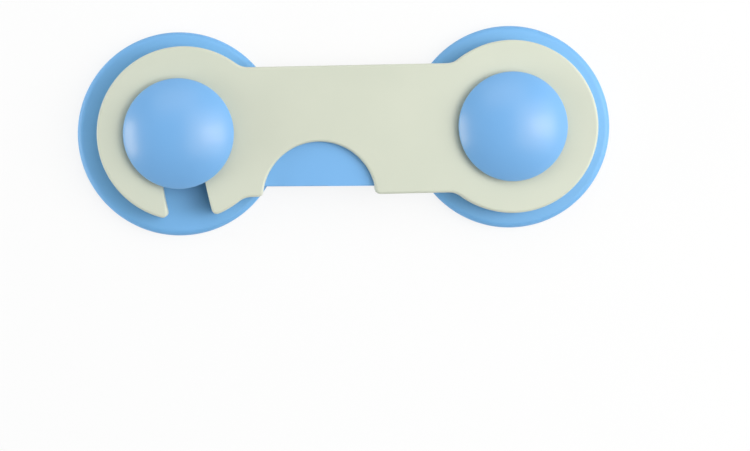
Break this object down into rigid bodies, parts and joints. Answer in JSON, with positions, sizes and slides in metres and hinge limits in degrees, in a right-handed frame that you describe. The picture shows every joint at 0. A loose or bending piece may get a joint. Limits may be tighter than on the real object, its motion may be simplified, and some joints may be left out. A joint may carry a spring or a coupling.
{
  "type": "cabinet safety lock",
  "caption": "Child safety lock for cabinets: two stick-on round bases with domed caps, a white arm that hinges on one and hooks the other, and a squeeze lever in a finger notch.",
  "frame": {"origin": "midway between the two base posts, on the face of the pads that goes against the furniture", "axes": "+X from the hook end to the hinge end, +Y the way the hook lifts, +Z out of the front"},
  "size_m": [0.1564, 0.0596, 0.0199],
  "materials": {
    "arm_white": "satin",
    "blue_plastic": "satin",
    "foam": "matt",
    "liner": "smooth paper",
    "screw_steel": "plated"
  },
  "bodies": {
    "bases": {"catch_base": "blue_plastic", "catch_cap": "blue_plastic", "catch_cap_screw": "screw_steel", "catch_foam_pad": "foam", "catch_pad_liner": "liner", "hinge_base": "blue_plastic", "hinge_cap": "blue_plastic", "hinge_cap_screw": "screw_steel", "hinge_foam_pad": "foam", "hinge_pad_liner": "liner"},
    "arm": {"arm": "arm_white", "lever_pivot_screw": "screw_steel", "lever_pivot_washer": "screw_steel"},
    "lever": {"latch_lever": "blue_plastic", "lever_leaf_spring": "blue_plastic"}
  },
  "joints": [
    {"name": "arm_swing", "type": "hinge", "parent": "bases", "child": "arm", "pos_m": [0.0485, 0, 0.0085], "axis": [0, 0, -1], "range_deg": [0, 340]},
    {"name": "lever_press", "type": "hinge", "parent": "arm", "child": "lever", "pos_m": [-0.0485, 0.01572, 0.0085], "axis": [0, 0, 1], "range_deg": [0, 5.7], "stiffness_Nm_per_rad": 2.4, "springref_deg": -7.45, "deforming": ["lever_leaf_spring"]}
  ]
}
